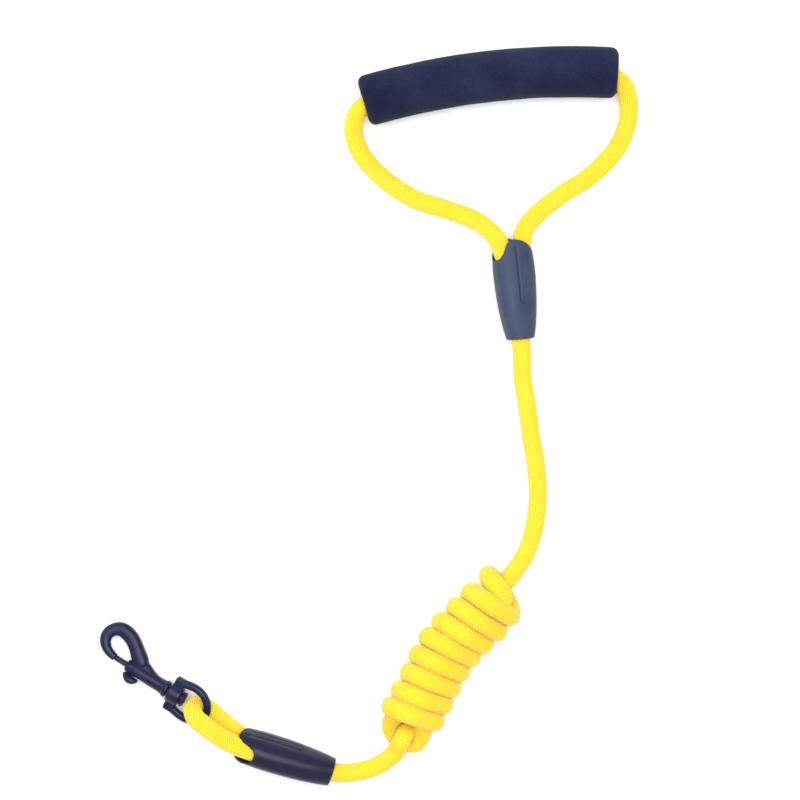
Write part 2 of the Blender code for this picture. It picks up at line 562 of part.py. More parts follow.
def main():
    for obj in list(bpy.data.objects):
        bpy.data.objects.remove(obj, do_unlink=True)
    parts = bpy.data.collections.new(COLLECTION)
    cutters = bpy.data.collections.new(COLLECTION + "_cutters")
    for collection in (parts, cutters):
        bpy.context.scene.collection.children.link(collection)

    build_grip(parts)
    upper = build_sleeve("upper_sleeve", UPPER_SLEEVE, parts)
    lower = build_sleeve("lower_sleeve", LOWER_SLEEVE, parts)
    build_ferrule("upper_ferrule", upper, parts)
    build_ferrule("lower_ferrule", lower, parts)
    snap = build_ropes(upper, lower, parts)
    build_hank(parts)

    axis = add_object("snap_axis", None, parts)
    axis.matrix_world = snap
    build_eye(parts, cutters, axis, axis)
    build_hook(parts, cutters, axis)
    build_latch(parts, cutters, axis)
    for obj in parts.objects:
        if obj.parent is None:
            obj.location -= Vector(ORIGIN) * MM

    for name, (colour, roughness, metallic) in MATERIALS.items():
        bpy.data.objects[name].data.materials.append(add_material(name, colour, roughness, metallic))


main()
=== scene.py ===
"""Looks of the rope lead: braided yellow rope, foam grip, moulded sleeves and a coated bolt snap.

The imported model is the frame. Tables below are in millimetres, in the layout that the CAD uses
before its origin is moved to the middle of the base; place() makes them metres in the frame.
"""
import math

import bmesh
import bpy
import numpy as np
from mathutils import Matrix, Vector


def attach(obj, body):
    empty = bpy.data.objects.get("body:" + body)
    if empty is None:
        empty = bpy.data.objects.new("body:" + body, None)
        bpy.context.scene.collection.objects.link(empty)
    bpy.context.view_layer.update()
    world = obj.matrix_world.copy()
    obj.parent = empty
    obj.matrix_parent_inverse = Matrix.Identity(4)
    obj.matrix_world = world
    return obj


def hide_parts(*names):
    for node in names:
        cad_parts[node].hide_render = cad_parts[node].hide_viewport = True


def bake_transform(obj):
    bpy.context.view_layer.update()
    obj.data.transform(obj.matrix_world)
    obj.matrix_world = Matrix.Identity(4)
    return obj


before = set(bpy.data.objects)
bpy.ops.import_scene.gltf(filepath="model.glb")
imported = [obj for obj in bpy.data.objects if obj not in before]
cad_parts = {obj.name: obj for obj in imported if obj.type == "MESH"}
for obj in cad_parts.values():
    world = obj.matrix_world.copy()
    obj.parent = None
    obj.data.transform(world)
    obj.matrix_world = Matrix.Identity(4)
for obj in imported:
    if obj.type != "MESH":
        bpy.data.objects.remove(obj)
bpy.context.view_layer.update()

MM = 0.001
ORIGIN = np.array((0.51, -0.32, 0.0))

ROPE_R = 5.5
CRIMPED_R = 4.4                 # inside a ferrule
# Inside a sleeve the rope narrows over CRIMP_RISE from CRIMP_FROM, and is full again at CRIMP_TO
CRIMP_FROM, CRIMP_RISE = 10.0, 16.0
CRIMP_TO, CRIMP_FALL = 50.0, 12.0
FLOOR_Z = ROPE_R + 0.1          # height of a rope's middle where it lies on the floor
LOOP_SPREAD = 1.05              # the end loop is pressed a little flat and wide
LOOP_Z = FLOOR_Z * LOOP_SPREAD
COLUMNS = 24                    # strands side by side round the rope
ROW = 1.5                       # mm, one braid row along the rope
CHEVRON = 0.55                  # rows that a stitch climbs across its column
STITCH_DEPTH = 0.46             # mm
TWIST_LENGTH = 900.0            # mm of rope for one slow turn of its braid
FUZZ = 0.03                     # mm, unevenness of single stitches
SWELL = 0.012                   # share of its radius by which the rope swells and shrinks
SWELL_LENGTHS = (31.0, 57.0, 123.0)

GRIP_LEFT = Vector((3.2, 183.0, 15.0))
GRIP_RIGHT = Vector((151.5, 199.8, 15.0))
GRIP_RISE = 6.5
GRIP_R = 15.0
GRIP_BORE_R = 5.9
GRIP_MOUTH_R = 7.1
GRIP_EDGE_R = 4.4
GRIP_LIP_R = 1.1                # rounding between the end ring and the bore
GRIP_DROP = (2.4, 4.0)          # how far the rope pulls the left and right mouths aside
GRIP_DROP_RUN = 22.0            # depth to which it does so
GRIP_SWELL = 0.055              # unevenness of the foam's skin

SLEEVE_LENGTH = 58.8
# Sleeve stations: (distance from the narrow end, half width, half thickness)
SLEEVE_OUTER = ((0.9, 8.0, 8.0), (8.0, 9.7, 8.5), (16.0, 11.0, 8.9),
                (24.0, 11.8, 9.2), (34.0, 12.4, 9.3), (46.0, 12.5, 9.2), (57.9, 12.2, 8.7))
SLEEVE_INNER = ((57.9, 11.4, 6.4), (46.0, 11.3, 6.4), (34.0, 10.9, 6.4), (27.0, 10.7, 6.3),
                (20.0, 9.3, 6.1), (13.0, 6.4, 5.9), (0.9, 5.9, 5.9))
SLEEVE_RIM = 0.9                # how far the rounded rims stand out at either end
OUTER_STEP, INNER_STEP = 0.45, 1.6
SLEEVE_POWER, BORE_POWER_GAIN = 2.4, 0.6        # squareness of its section, more in the bore
NOTCH_FROM = 34.0               # the cut of the mouth runs out here
# Line round the tongue: half width and middle of its round end; where it ends, and the run over which
# it fades there; half width of the groove; its depth on the raised and on the lower side, and half
# the run between the two; its shift to the side
TONGUE = {"half": 2.4, "end": 23.2, "top": 56.5, "fade": 4.0, "groove": 0.45, "depth": 1.15,
          "faint": 0.35, "change": 1.6, "shift": 0.5}
# Mouth of a sleeve: (angle from the middle of a face in degrees, how far the lip is cut back)
LIP = ((-90.0, 11.5), (-72.0, 11.4), (-56.0, 10.2), (-41.0, 7.4), (-28.0, 3.2), (-17.0, 0.7), (-8.0, 0.0),
       (4.0, 0.9), (20.0, 2.6), (40.0, 5.2), (60.0, 8.4), (76.0, 10.8), (90.0, 11.5))
UPPER_SLEEVE = {"narrow": Vector((95.1, 44.8, 9.0)), "mouth": Vector((89.3, 103.2, 12.6)),
                "roll": 26.5}
LOWER_SLEEVE = {"narrow": Vector((-15.1, -208.5, 10.2)), "mouth": Vector((-71.1, -190.8, 14.1)),
                "roll": 60.0}
# Strands of rope inside a sleeve: (across, along from the narrow end)
THROUGH_LEG = ((0.0, 10.4), (0.0, 13.4), (-0.9, 16.6), (-2.9, 20.8), (-4.7, 26.5), (-4.7, 38.0),
               (-5.3, 45.0))
CUT_LEG = ((4.7, 27.2), (4.7, 38.0), (5.3, 45.0))

# Hank: turns of rope round a doubled core, on a gently curved axis
HANK_TOP = Vector((80.3, -106.5, 19.0))
HANK_BOTTOM = Vector((33.5, -170.4, 19.0))
HANK_RISE = -4.2                # the axis curves to the right
HANK_MIDDLE = 19.15             # height of the core
TURN_SAMPLES = 8                # points on each half turn
TURN_R = 9.75                   # mm, radius of the rope's middle round either core strand
CORE_GAP = 9.5                  # mm between the two core strands
# Where each turn goes round the side: (along the axis, out from it), right and left in turn
SIDES = ((0.4, 13.2), (8.2, -12.5), (12.9, 14.8), (19.3, -12.6), (24.9, 13.9), (30.6, -13.6),
         (36.4, 12.9), (41.4, -14.3), (47.8, 12.8), (52.4, -13.2), (59.2, 13.5), (63.2, -12.4),
         (70.8, 13.9), (74.0, -12.2), (82.4, 13.6), (84.2, -13.2))
SQUEEZE = 1.11                  # the rope spreads where a turn lies tight against the next
# Hank points: (along the axis, sideways, height)
ENTERING = ((-10.2, -3.2, 14.7), (-5.0, -1.6, 15.9), (1.0, 1.6, 16.1), (8.0, 3.36, 15.64),
            (24.0, 3.36, 15.64), (40.0, 3.36, 15.64), (56.0, 3.36, 15.64), (70.0, 3.4, 15.64),
            (77.0, 4.0, 15.6), (84.0, 6.4, 15.0), (90.5, 8.9, 12.6), (96.4, 9.4, 9.6),
            (100.5, 7.3, 7.1), (101.8, 3.2, 6.0), (100.8, -2.0, 5.9), (98.4, -6.7, 6.9),
            (94.2, -9.4, 9.8), (89.5, -9.2, 14.0), (84.0, -6.4, 18.3), (77.0, -3.8, 21.6),
            (70.0, -3.36, 22.36), (56.0, -3.36, 22.36), (40.0, -3.36, 22.36),
            (24.0, -3.3, 22.36), (13.0, -2.6, 22.4), (7.0, 0.0, 22.5), (2.6, 2.6, 22.9),
            (-0.9, 3.6, 24.0, 1.06), (-3.4, 1.8, 25.4, 1.12), (-4.5, -2.2, 26.2, 1.14),
            (-4.9, -7.4, 25.6, 1.12), (-5.2, -11.7, 21.8, 1.08), (-5.6, -12.9, 16.0, 1.04),
            (-6.0, -10.4, 9.4), (-5.8, -5.6, 6.2), (-5.2, 0.0, 5.7), (-4.3, 5.6, 5.9),
            (-2.8, 10.6, 9.0))
LEAVING = ((84.8, -13.4, 15.5), (85.8, -10.2, 8.8), (86.8, -5.4, 5.9), (88.0, -1.6, 5.7),
           (90.0, 0.4, 7.4), (92.4, 0.9, 10.8), (95.0, 0.3, 14.2), (98.2, -0.3, 16.6),
           (101.4, -0.8, 16.7), (104.6, -1.2, 14.4))

SNAP_AT = Vector((-108.9, -161.7, 9.95))        # on the axis of the snap, inside the boss of its eye
SNAP_HEADING = 149.0            # degrees, in the plane of the floor
SNAP_DIP = math.degrees(math.atan(0.137))       # degrees down towards the hook
EYE_ROLL = -25.0                # degrees, of the eye about the axis
# Hook wire: (across, along, width, thickness), from the tip round the crown to the leaf end
HOOK_WIRE = ((0.1, 39.3, 4.5, 4.3), (-0.8, 43.4, 5.2, 5.0), (-2.6, 46.9, 5.9, 5.5),
             (-5.8, 49.6, 6.7, 5.9), (-9.8, 50.2, 7.1, 6.2), (-13.6, 48.2, 7.7, 6.4),
             (-15.9, 44.5, 8.5, 6.6), (-15.8, 40.2, 8.8, 6.8), (-14.3, 36.0, 8.8, 7.0),
             (-11.4, 31.6, 8.8, 7.3), (-8.2, 27.8, 9.4, 7.6), (-5.9, 24.6, 9.2, 7.8),
             (-4.2, 22.0, 6.6, 6.6), (-3.5, 20.9, 3.6, 4.4))
# Leaf between the hook and the barrel, by the same four measures
NECK = ((-6.6, 25.6, 6.8, 4.4), (-4.4, 22.6, 8.0, 5.0), (-2.7, 19.4, 8.4, 5.8),
        (-1.3, 16.0, 8.2, 6.8), (-0.4, 13.0, 8.2, 7.6), (-0.1, 9.6, 7.8, 7.8))
# Turned profiles: (radius, along)
BARREL_PROFILE = ((0.0, 2.6), (4.5, 2.6), (4.9, 2.8), (5.1, 3.2), (5.1, 4.3), (4.8, 4.8), (4.3, 5.8),
                  (4.1, 8.0), (4.1, 24.0), (3.9, 29.0), (3.5, 30.6), (3.0, 31.1), (0.0, 31.2))
BORE_R, BORE_TO = 2.0, 34.0
SLOT_FROM, SLOT_TO, SLOT_WIDTH, SLOT_REACH = 15.2, 29.8, 3.0, 8.0
CAST_VOXEL, KNOB_VOXEL = 0.26, 0.2              # mm, grain to which bodies are melted together
CAST_SHARP = 50.0               # degrees from which an edge stays sharp
BOLT_R = 1.65
KNOB_HOLE_R, KNOB_GAP = 1.15, 0.3
KNOB_FROM, KNOB_TO, KNOB_WIDTH = 23.8, 29.4, 2.3
KNOB_NECK, KNOB_NECK_AT = (2.0, 4.6, 5.8), (5.15, 0.0, 27.6)
SHANK_AT, SHANK_FROM, SHANK_TO = 26.7, 0.7, 4.0
# Thumb pad: its middle out from the axis and along it, and its half sizes out, across and along
PAD_OUT, PAD_AT = 6.9, 25.4
PAD_HALF = (2.3, 3.5, 4.9)
PAD_POWER, PAD_OUTLINE = 2.3, 2.4               # squareness of its section and of its outline
PAD_BOW = 1.5                   # its ends curve back towards the barrel
RIB_HEIGHT, RIB_PITCH = 0.13, 2.0
SPRING_WIRE_R, SPRING_COIL_R = 0.25, 1.35
SPRING_TURNS = 9
SPRING_FROM, SPRING_TO = 7.6, 20.8
PIN_PROFILE = ((0.0, -9.1), (3.2, -9.1), (4.2, -8.9), (4.6, -8.4), (4.6, -7.8), (4.3, -7.4),
               (4.0, -7.2), (4.0, -6.6), (2.6, -6.6), (2.6, 2.3), (1.7, 2.3), (1.7, 7.0), (0.0, 7.0))
EYE_BAR = (22.6, 5.0, 6.6)      # base bar: sizes across, through and along the axis
EYE_BAR_AT = -2.4
EYE_BAR_EDGE = 1.2
BOSS_PROFILE = ((0.0, -6.2), (5.5, -6.2), (6.0, -5.8), (6.1, -5.2), (6.1, 0.7), (5.9, 1.3),
                (5.3, 1.6), (0.0, 1.6))
EYE_BORE_R = 2.95
# Half of the bow, from the base bar to its top: (across, along)
BOW_HALF = ((9.0, -3.4), (10.0, -8.0), (10.5, -12.5), (9.2, -17.6), (5.4, -22.0), (0.0, -24.0))
BOW_THICK = 4.9
BOW_THINNING = (0.5, 0.3)       # in width and in thickness, from the base bar to the top

BAR_POWER = 2.2                 # squareness of a cast bar's section
TURNED_STEPS, CYLINDER_STEPS = 64, 40

# Stage, in metres
FLOOR_HALF = 12.0
FLOOR_DROP = 0.0004             # below the ropes that lie on it
WORLD_STRENGTH = 0.72
# Area lamps, aimed at the origin: (name, place, size, watts)
LAMPS = (("top_lamp", (0.1, 0.2, 3.4), 2.4, 118.0), ("side_lamp", (-1.6, 0.9, 1.5), 1.2, 12.0))
CAMERA_AT = (0.02406, 0.00939, 2.608)
CAMERA_LENS, CAMERA_SENSOR = 200.0, 36.0        # mm
CAMERA_REACH = 20.0


# ---------------------------------------------------------------- shapes

def place(points):
    """Layout millimetres to metres in the frame."""
    return (np.asarray(points, dtype=float) - ORIGIN) * MM


def smooth_route(points, step):
    """Even samples of a centripetal Catmull-Rom curve through the points (any dimension)."""
    pts = np.array([tuple(p) for p in points], dtype=float)
    pts = np.vstack((2 * pts[0] - pts[1], pts, 2 * pts[-1] - pts[-2]))
    dense = []
    for i in range(1, len(pts) - 2):
        p0, p1, p2, p3 = pts[i - 1:i + 3]
        t1 = math.sqrt(np.linalg.norm((p1 - p0)[:3]))
        t2 = t1 + math.sqrt(np.linalg.norm((p2 - p1)[:3]))
        t3 = t2 + math.sqrt(np.linalg.norm((p3 - p2)[:3]))
        for t in np.linspace(t1, t2, 24, endpoint=False):
            a1 = (t1 - t) / t1 * p0 + t / t1 * p1
            a2 = (t2 - t) / (t2 - t1) * p1 + (t - t1) / (t2 - t1) * p2
            a3 = (t3 - t) / (t3 - t2) * p2 + (t - t2) / (t3 - t2) * p3
            b1 = (t2 - t) / t2 * a1 + t / t2 * a2
            b2 = (t3 - t) / (t3 - t1) * a2 + (t - t1) / (t3 - t1) * a3
            dense.append((t2 - t) / (t2 - t1) * b1 + (t - t1) / (t2 - t1) * b2)
    dense = np.array(dense + [pts[-2]])
    run = np.concatenate(([0.0], np.cumsum(np.linalg.norm(np.diff(dense[:, :3], axis=0), axis=1))))
    even = np.linspace(0.0, run[-1], max(2, round(run[-1] / step) + 1))
    return np.column_stack([np.interp(even, run, dense[:, k]) for k in range(dense.shape[1])])


def superellipse(half_a, half_b, power, count):
    """Points of a rounded oval as two arrays (a, b)."""
    angle = 2.0 * np.pi * np.arange(count) / count
    c, s = np.cos(angle), np.sin(angle)
    return (np.sign(c) * np.abs(c) ** (2.0 / power) * half_a,
            np.sign(s) * np.abs(s) ** (2.0 / power) * half_b)


class Arc:
    """A shallow arc in a level plane from one point to another, with its rise to the left."""

    def __init__(self, start, end, rise):
        chord = (end - start).length
        self.radius = (chord * chord / 4.0 + rise * rise) / (2.0 * rise)
        self.half = math.asin(chord / 2.0 / self.radius)
        self.length = 2.0 * self.half * self.radius
        self.along = (end - start).normalized()
        self.left = Vector((-self.along.y, self.along.x, 0.0))
        self.centre = (start + end) / 2.0 + self.left * (rise - self.radius)

    def at(self, distance):
        """Point and sideways direction at a distance from the start."""
        angle = distance / self.radius - self.half
        out = self.left * math.cos(angle) + self.along * math.sin(angle)
        return self.centre + out * self.radius, out


def frame_matrix(x_axis, y_axis, z_axis, origin):
    """Matrix, in millimetres, of a frame given by its axes and its origin."""
    matrix = Matrix((x_axis, y_axis, z_axis)).transposed().to_4x4()
    matrix.translation = origin
    return matrix


def sleeve_matrix(sleeve):
    """Frame of a sleeve: +Y from the narrow end to the mouth, +X to the raised side."""
    along = (sleeve["mouth"] - sleeve["narrow"]).normalized()
    level = Vector((-along.y, along.x, 0.0)).normalized()
    up = level.cross(along)
    if up.z < 0:
        up = -up
    roll = math.radians(sleeve["roll"])
    across = level * math.cos(roll) + up * math.sin(roll)
    return frame_matrix(across, along, across.cross(along), sleeve["narrow"])


def snap_matrix():
    """Frame of the snap: +Z along the barrel to the hook, +Y upwards."""
    heading, dip = math.radians(SNAP_HEADING), math.radians(SNAP_DIP)
    z_axis = Vector((math.cos(heading) * math.cos(dip), math.sin(heading) * math.cos(dip),
                     -math.sin(dip)))
    x_axis = Vector((0.0, 0.0, 1.0)).cross(z_axis).normalized()
    return frame_matrix(x_axis, z_axis.cross(x_axis), z_axis, SNAP_AT)


def through(matrix, points):
    """Points of a local frame in the layout."""
    rotation = np.array(matrix.to_3x3())
    return np.asarray(points, dtype=float) @ rotation.T + np.array(matrix.translation)


def add_object(name, mesh):
    """Object of a mesh, linked to the scene."""
    obj = bpy.data.objects.new(name, mesh)
    bpy.context.scene.collection.objects.link(obj)
    return obj


def skin(name, rings, closed=False, uv=None):
    """Mesh over equal rings (n, m, 3) in layout millimetres; open skins get fan caps."""
    rings = np.asarray(rings, dtype=float)
    n, m = rings.shape[:2]
    verts = place(rings.reshape(-1, 3))
    i = np.arange(n if closed else n - 1)[:, None]
    j = np.arange(m)[None, :]
    nxt, side = (i + 1) % n, (j + 1) % m
    quads = np.stack((i * m + j, i * m + side, nxt * m + side, nxt * m + j), axis=-1).reshape(-1, 4)
    faces = quads.tolist()
    if not closed:
        ends = np.vstack((verts[:m].mean(axis=0), verts[-m:].mean(axis=0)))
        verts = np.vstack((verts, ends))
        for k in range(m):
            faces.append([(k + 1) % m, k, n * m])
            faces.append([(n - 1) * m + k, (n - 1) * m + (k + 1) % m, n * m + 1])
    mesh = bpy.data.meshes.new(name)
    mesh.from_pydata(verts.tolist(), [], faces)
    if uv is not None:
        layer = mesh.uv_layers.new(name="Braid")
        left, right, low, high = (np.broadcast_to(edge, (len(i), m))
                                  for edge in (j, j + 1, uv[:-1, None], uv[1:, None]))
        across = np.stack((left, right, right, left), axis=-1) / m
        along = np.stack((low, low, high, high), axis=-1)
        turn = np.zeros((len(mesh.loops), 2))
        turn[:len(quads) * 4] = np.stack((across, along), axis=-1).reshape(-1, 2)
        layer.data.foreach_set("uv", turn.astype(np.float32).ravel())
    mesh.shade_smooth()
    mesh.validate()
    return mesh


def outward(mesh, sharp=None):
    """Turns the faces outwards, and marks edges sharper than an angle."""
    bm = bmesh.new()
    bm.from_mesh(mesh)
    bmesh.ops.recalc_face_normals(bm, faces=bm.faces)
    bm.to_mesh(mesh)
    bm.free()
    if sharp is not None:
        mesh.set_sharp_from_angle(angle=math.radians(sharp))
    return mesh


def follow(centre):
    """Two steady side vectors at each point of a centre line, square to it and to each other."""
    tangent = np.gradient(centre, axis=0)
    tangent /= np.linalg.norm(tangent, axis=1)[:, None]
    side = np.cross(tangent[0], (0.0, 0.0, 1.0))
    side /= np.linalg.norm(side)
    sides = []
    for t in tangent:
        side = side - t * np.dot(side, t)
        side /= np.linalg.norm(side)
        sides.append(side)
    sides = np.array(sides)
    return sides, np.cross(tangent, sides)


def tube(centre, radius, angle):
    """Rings round a centre line: a radius and an angle for each (ring, side)."""
    first, second = follow(centre)
    return (centre[:, None, :] + np.asarray(radius)[..., None]
            * (np.cos(angle)[:, :, None] * first[:, None, :]
               + np.sin(angle)[:, :, None] * second[:, None, :]))


def rope(name, points, around, per_row, seed):
    """Braided rope along a route of (x, y, z, radius factor), with its stitches in the surface.

    It has so many points around it, and so many rings in each braid row.
    """
    samples = smooth_route(points, ROW / per_row)
    centre = samples[:, :3]
    rows = np.arange(len(samples)) / per_row
    run = np.concatenate(([0.0], np.cumsum(np.linalg.norm(np.diff(centre, axis=0), axis=1))))
    rng = np.random.default_rng(seed)
    turn = 2.0 * np.pi * np.arange(around) / around
    column = COLUMNS * np.arange(around) / around
    odd = np.floor(column) % 2
    inside = column - np.floor(column)
    row = rows[:, None] + 0.5 * odd + (2.0 * odd - 1.0) * (inside - 0.5) * CHEVRON
    stitch = np.sqrt(np.abs(np.sin(np.pi * inside))[None, :] * np.abs(np.sin(np.pi * row)))
    wave = np.zeros_like(run)
    for length in SWELL_LENGTHS:
        wave += np.sin(2.0 * np.pi * (run / length + rng.random())) / len(SWELL_LENGTHS)
    jitter = rng.normal(0.0, FUZZ, (len(run), around))
    radius = ROPE_R * samples[:, 3] * (1.0 + SWELL * wave)
    radius = radius[:, None] - STITCH_DEPTH * (1.0 - stitch) * samples[:, 3][:, None] + jitter * stitch
    angle = turn[None, :] + 2.0 * np.pi * run[:, None] / TWIST_LENGTH
    obj = add_object(name, skin(name, tube(centre, radius, angle), uv=rows))
    return obj, [tuple(p) for p in place(centre)], run[-1] * MM


def lathe(profile, steps, matrix):
    """Turned skin about local Z, in layout millimetres."""
    angle = 2.0 * np.pi * np.arange(steps) / steps
    rings = [np.column_stack((max(r, 0.01) * np.cos(angle), max(r, 0.01) * np.sin(angle),
                              np.full(steps, z))) for r, z in profile]
    return through(matrix, rings)


def bar(samples, matrix, count):
    """Rings of a bar in the local XZ plane: samples of (across, along, width, thickness)."""
    rings = []
    for i, (x, z, width, thickness) in enumerate(samples):
        before, after = samples[max(i - 1, 0)], samples[min(i + 1, len(samples) - 1)]
        direction = np.array((after[0] - before[0], after[1] - before[1]))
        direction /= np.linalg.norm(direction)
        a, b = superellipse(width / 2.0, thickness / 2.0, BAR_POWER, count)
        rings.append(np.column_stack((x - direction[1] * a, b, z + direction[0] * a)))
    return through(matrix, rings)


def bar_samples(stations, step):
    """Smooth samples of (across, along, width, thickness) stations."""
    rows = smooth_route([(x, 0.0, z, w, h) for x, z, w, h in stations], step)
    return rows[:, (0, 2, 3, 4)]


def cylinder(radius, start, end, matrix):
    """Plain cylinder about local Z."""
    profile = ((0.0, start), (radius, start), (radius, end), (0.0, end))
    return lathe(profile, CYLINDER_STEPS, matrix)


def block(size, centre, matrix, edge=0.0):
    """Mesh of a block in the frame, its edges rounded."""
    bm = bmesh.new()
    bmesh.ops.create_cube(bm, size=1.0)
    bmesh.ops.scale(bm, vec=Vector(size), verts=bm.verts)
    bmesh.ops.translate(bm, vec=Vector(centre), verts=bm.verts)
    if edge > 0.0:
        bmesh.ops.bevel(bm, geom=bm.edges, offset=edge, segments=4, profile=0.5, affect="EDGES")
    for vert in bm.verts:
        vert.co = Vector(place(np.array(matrix @ vert.co)))
    mesh = bpy.data.meshes.new("block")
    bm.to_mesh(mesh)
    bm.free()
    return outward(mesh)


def merged(name, meshes, voxel, smooth, cuts=()):
    """One casting from several bodies: joined, remeshed, smoothed, then cut."""
    bm = bmesh.new()
    for mesh in meshes:
        bm.from_mesh(mesh)
    whole = bpy.data.meshes.new(name)
    bm.to_mesh(whole)
    bm.free()
    obj = add_object(name, whole)
    remesh = obj.modifiers.new("Remesh", "REMESH")
    remesh.mode = "VOXEL"
    remesh.voxel_size = voxel * MM
    soften = obj.modifiers.new("Smooth", "SMOOTH")
    soften.factor = 0.5
    soften.iterations = smooth
    helpers = []
    for cut in cuts:
        helper = add_object(name + "_cut", cut)
        boolean = obj.modifiers.new("Cut", "BOOLEAN")
        boolean.operation = "DIFFERENCE"
        boolean.object = helper
        boolean.solver = "EXACT"
        helpers.append(helper)
    bpy.context.view_layer.update()
    mesh = bpy.data.meshes.new_from_object(obj.evaluated_get(bpy.context.evaluated_depsgraph_get()))
    obj.modifiers.clear()
    obj.data = mesh
    mesh.name = name
    for helper in helpers:
        bpy.data.objects.remove(helper)
    mesh.shade_smooth()
    mesh.set_sharp_from_angle(angle=math.radians(CAST_SHARP))
    return obj


# ---------------------------------------------------------------- materials

class Nodes:
    """Short forms for building a node tree."""

    def __init__(self, name, colour, roughness, metallic=0.0, specular=0.5):
        self.material = bpy.data.materials.new(name)
        self.material.use_nodes = True
        self.tree = self.material.node_tree
        self.shader = self.tree.nodes["Principled BSDF"]
        self.shader.inputs["Base Color"].default_value = (*colour, 1.0)
        self.shader.inputs["Roughness"].default_value = roughness
        self.shader.inputs["Metallic"].default_value = metallic
        self.shader.inputs["Specular IOR Level"].default_value = specular

    def node(self, kind, **values):
        """New node with its settings."""
        node = self.tree.nodes.new(kind)
        for key, value in values.items():
            setattr(node, key, value)
        return node

    def link(self, source, target):
        """Gives an input a number, or the output of another node."""
        if isinstance(source, (int, float)):
            target.default_value = source
        else:
            self.tree.links.new(source, target)

    def math(self, operation, a, b=None):
        node = self.node("ShaderNodeMath", operation=operation)
        self.link(a, node.inputs[0])
        if b is not None:
            self.link(b, node.inputs[1])
        return node.outputs[0]

    def place(self):
        """Where the surface is, in metres on its own piece."""
        return self.node("ShaderNodeTexCoord").outputs["Object"]

    def noise(self, vector, scale, detail=3.0, roughness=0.5):
        node = self.node("ShaderNodeTexNoise")
        self.link(vector, node.inputs["Vector"])
        node.inputs["Scale"].default_value = scale
        node.inputs["Detail"].default_value = detail
        node.inputs["Roughness"].default_value = roughness
        return node.outputs["Fac"]

    def ramp(self, value, stops):
        """Colours spread over a value: (position, colour) stops."""
        node = self.node("ShaderNodeValToRGB")
        self.link(value, node.inputs["Fac"])
        elements = node.color_ramp.elements
        while len(elements) < len(stops):
            elements.new(0.5)
        for element, (position, colour) in zip(elements, stops):
            element.position = position
            element.color = (*colour, 1.0)
        return node.outputs["Color"]

    def spread(self, value, low, high, out_low, out_high):
        """A value's range moved to another one."""
        node = self.node("ShaderNodeMapRange")
        self.link(value, node.inputs["Value"])
        for key, number in (("From Min", low), ("From Max", high),
                            ("To Min", out_low), ("To Max", out_high)):
            node.inputs[key].default_value = number
        return node.outputs["Result"]

    def bump(self, height, strength, distance):
        """Relief of a height, with its depth in metres."""
        node = self.node("ShaderNodeBump")
        node.inputs["Strength"].default_value = strength
        node.inputs["Distance"].default_value = distance
        self.link(height, node.inputs["Height"])
        return node.outputs["Normal"]

    def finish(self, colour=None, roughness=None, normal=None):
        """The material, with what its shader is given."""
        for key, value in (("Base Color", colour), ("Roughness", roughness), ("Normal", normal)):
            if value is not None:
                self.link(value, self.shader.inputs[key])
        return self.material


def rope_material():
    """Braided polyester with fine filaments; painted shade makes it deeper orange-yellow between the
    stitches and bright on their tops.
    """
    n = Nodes("rope_braid", (0.8, 0.68, 0.06), 0.62, specular=0.25)
    n.shader.inputs["Sheen Weight"].default_value = 0.35
    n.shader.inputs["Sheen Roughness"].default_value = 0.4
    split = n.node("ShaderNodeSeparateXYZ")
    n.link(n.node("ShaderNodeUVMap", uv_map="Braid").outputs["UV"], split.inputs[0])
    column = n.math("MULTIPLY", split.outputs["X"], float(COLUMNS))
    inside = n.math("FRACT", column)
    odd = n.math("MODULO", n.math("FLOOR", column), 2.0)
    climb = n.math("MULTIPLY", n.math("SUBTRACT", n.math("MULTIPLY", odd, 2.0), 1.0),
                   n.math("MULTIPLY", n.math("SUBTRACT", inside, 0.5), CHEVRON))
    row = n.math("ADD", n.math("ADD", split.outputs["Y"], n.math("MULTIPLY", odd, 0.5)), climb)
    over = n.math("SINE", n.math("MULTIPLY", inside, math.pi))
    along = n.math("ABSOLUTE", n.math("SINE", n.math("MULTIPLY", row, math.pi)))
    stitch = n.math("POWER", n.math("MULTIPLY", over, along), 0.5)
    filament = n.math("SINE", n.math("MULTIPLY", inside, 5.0 * 2.0 * math.pi))
    patch = n.noise(n.place(), 120.0, 4.0, 0.6)
    # Painted shade: the ramp darkens the hollows between stitches to orange by stitch height; the patch
    # noise adds random tone.
    mixed = n.math("ADD", n.math("MULTIPLY", stitch, 0.85), n.math("MULTIPLY", patch, 0.3))
    colour = n.ramp(mixed, ((0.2, (0.80, 0.39, 0.004)), (0.55, (0.86, 0.58, 0.012)),
                            (0.9, (0.88, 0.70, 0.040))))
    height = n.math("ADD", stitch, n.math("MULTIPLY", filament, 0.06))
    normal = n.bump(height, 0.8, 0.0003)
    return n.finish(colour, n.spread(patch, 0.3, 0.7, 0.55, 0.7), normal)


def foam_material():
    """Closed-cell foam: dark blue, very matt, a fine pitted skin with faint blotches."""
    n = Nodes("foam_skin", (0.02, 0.024, 0.06), 0.92, specular=0.1)
    n.shader.inputs["Sheen Weight"].default_value = 0.04
    where = n.place()
    blotch = n.noise(where, 22.0, 3.0, 0.6)
    fine = n.noise(where, 900.0, 2.0, 0.7)
    mixed = n.math("ADD", n.math("MULTIPLY", blotch, 0.6), n.math("MULTIPLY", fine, 0.4))
    colour = n.ramp(mixed, ((0.38, (0.007, 0.009, 0.030)), (0.5, (0.011, 0.014, 0.042)),
                            (0.62, (0.016, 0.021, 0.054))))
    cells = n.node("ShaderNodeTexVoronoi")
    n.link(where, cells.inputs["Vector"])
    cells.inputs["Scale"].default_value = 1100.0
    height = n.math("ADD", cells.outputs["Distance"], n.math("MULTIPLY", fine, 0.6))
    return n.finish(colour, None, n.bump(height, 0.35, 0.0003))


